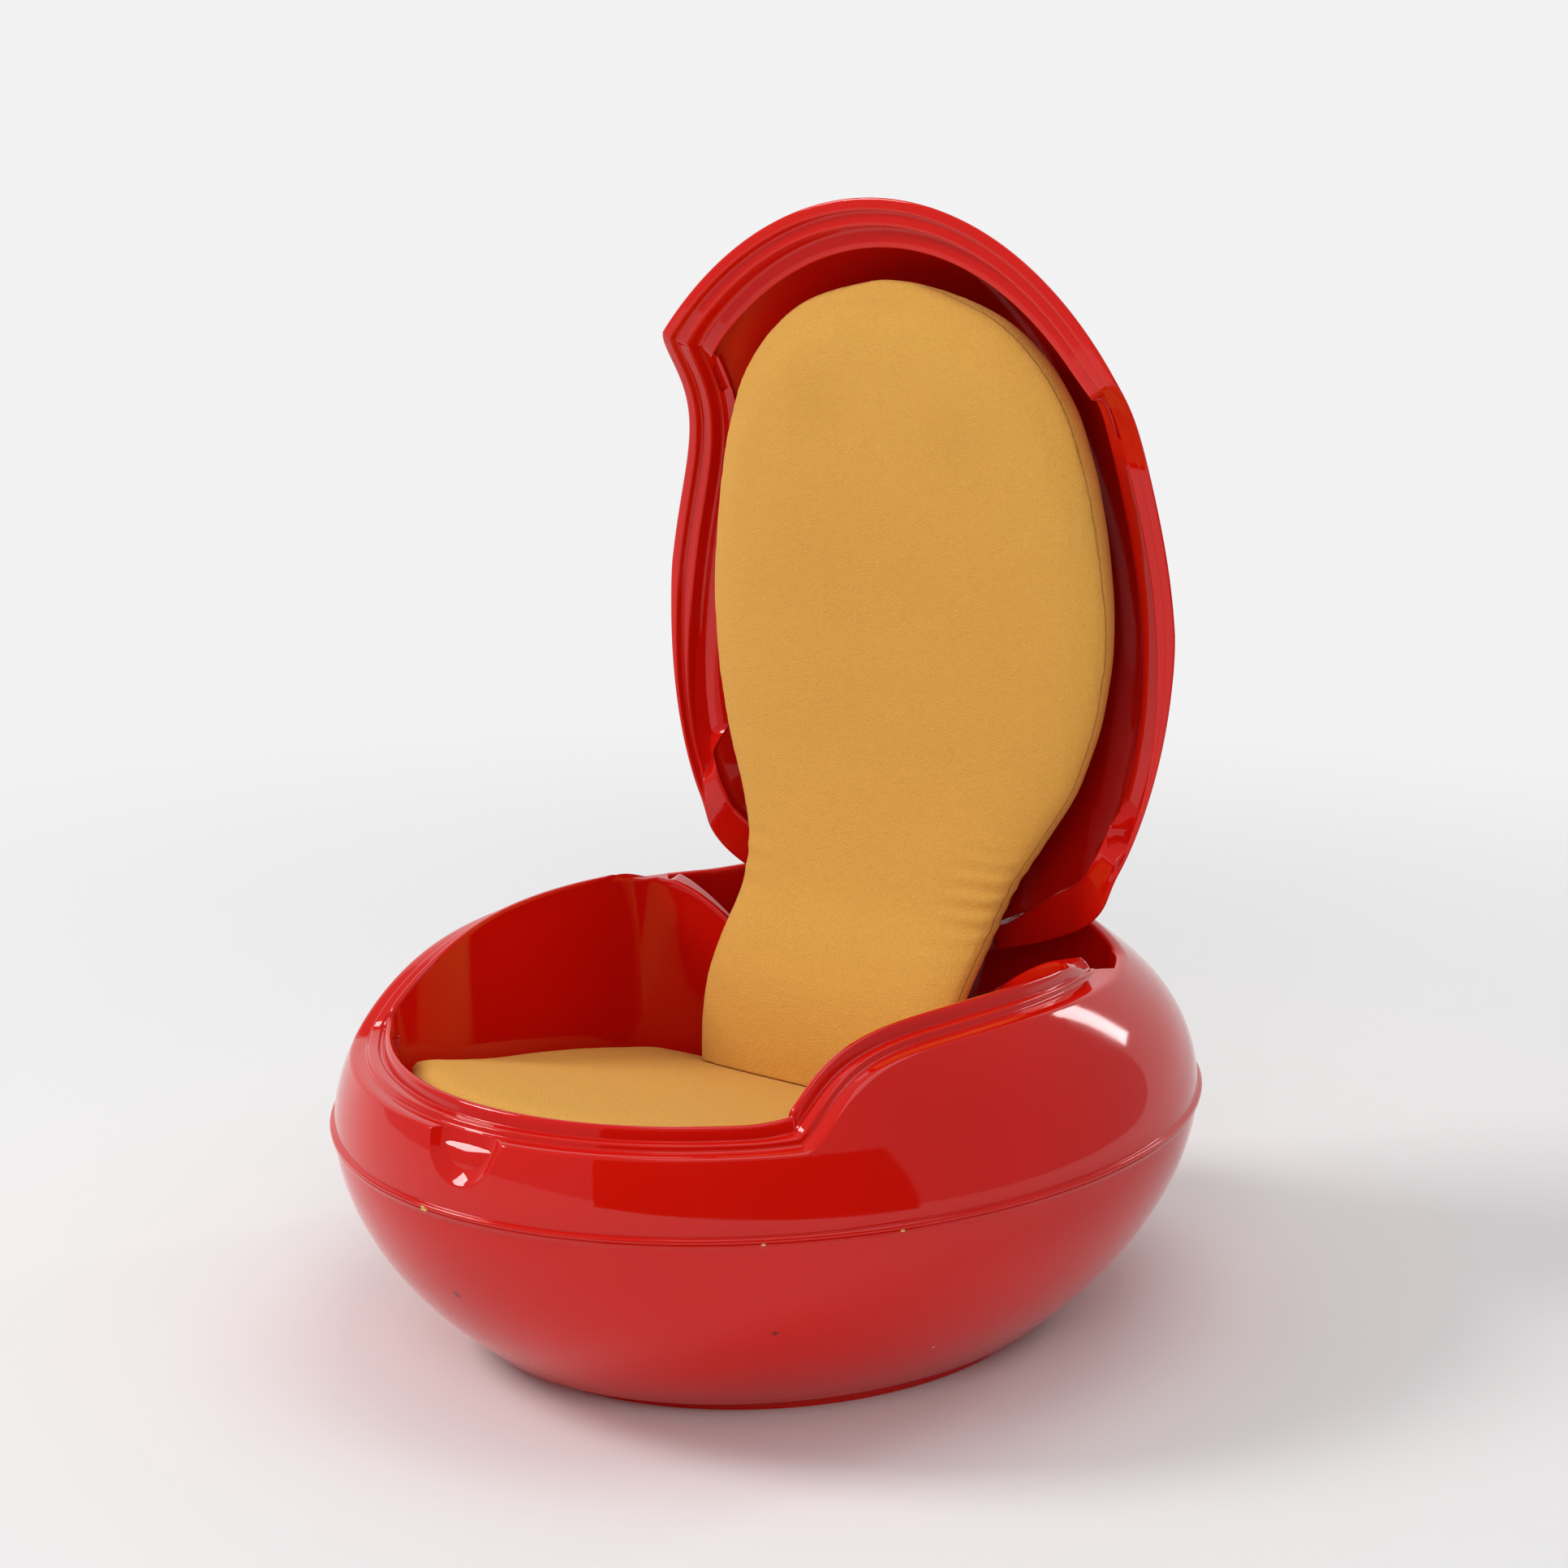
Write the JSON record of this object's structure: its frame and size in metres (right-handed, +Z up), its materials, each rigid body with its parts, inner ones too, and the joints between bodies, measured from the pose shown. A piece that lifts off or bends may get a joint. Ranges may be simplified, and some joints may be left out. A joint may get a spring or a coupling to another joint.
{
  "type": "egg-shaped lounge chair with a hinged lid",
  "caption": "Egg-shaped lounge chair: a glossy moulded bowl with a stepped rim and fabric seat, and a hinged lid that opens into the padded backrest and closes flush into an egg",
  "frame": {"origin": "on the floor, in the middle of the chair's width and depth", "axes": "+Z up, +X to the right seen from in front, the sitter faces -Y; millimetre model, lid open at rest"},
  "size_m": [0.7502, 0.862, 1.004],
  "materials": {
    "red_lacquer": "glossy red lacquer over moulded plastic",
    "foot_red": "dark red, satin",
    "mustard_cloth": "mustard wool crepe over foam",
    "board": "plain plywood, hidden",
    "hinge_alloy": "cast, unpainted",
    "steel": "zinc plated",
    "bush_nylon": "natural nylon",
    "stop_rubber": "black rubber"
  },
  "bodies": {
    "base": {"base_bracket_left": "hinge_alloy", "base_bracket_right": "hinge_alloy", "bracket_screw_left_inner": "steel", "bracket_screw_left_outer": "steel", "bracket_screw_right_inner": "steel", "bracket_screw_right_outer": "steel", "foot_ring": "foot_red", "foot_screw_front_left": "steel", "foot_screw_front_right": "steel", "foot_screw_rear_left": "steel", "foot_screw_rear_right": "steel", "hinge_bush_left": "bush_nylon", "hinge_bush_right": "bush_nylon", "lower_shell": "red_lacquer", "lumbar_cushion": "mustard_cloth", "seat_cushion": "mustard_cloth", "stop_buffer_left": "stop_rubber", "stop_buffer_right": "stop_rubber", "upper_shell": "red_lacquer"},
    "lid": {"back_board": "board", "back_cushion": "mustard_cloth", "board_screw_lower_left": "steel", "board_screw_lower_right": "steel", "board_screw_upper_left": "steel", "board_screw_upper_right": "steel", "hinge_nut_left": "steel", "hinge_nut_right": "steel", "hinge_pin_left": "steel", "hinge_pin_right": "steel", "lid_lug_left": "hinge_alloy", "lid_lug_right": "hinge_alloy", "lid_shell": "red_lacquer", "lug_screw_left_front": "steel", "lug_screw_left_rear": "steel", "lug_screw_right_front": "steel", "lug_screw_right_rear": "steel"}
  },
  "joints": [
    {"name": "lid_hinge", "type": "hinge", "parent": "base", "child": "lid", "pos_m": [0, 0.229, 0.357], "axis": [1, 0, 0], "range_deg": [0, 92], "deforming": ["lumbar_cushion"]}
  ]
}
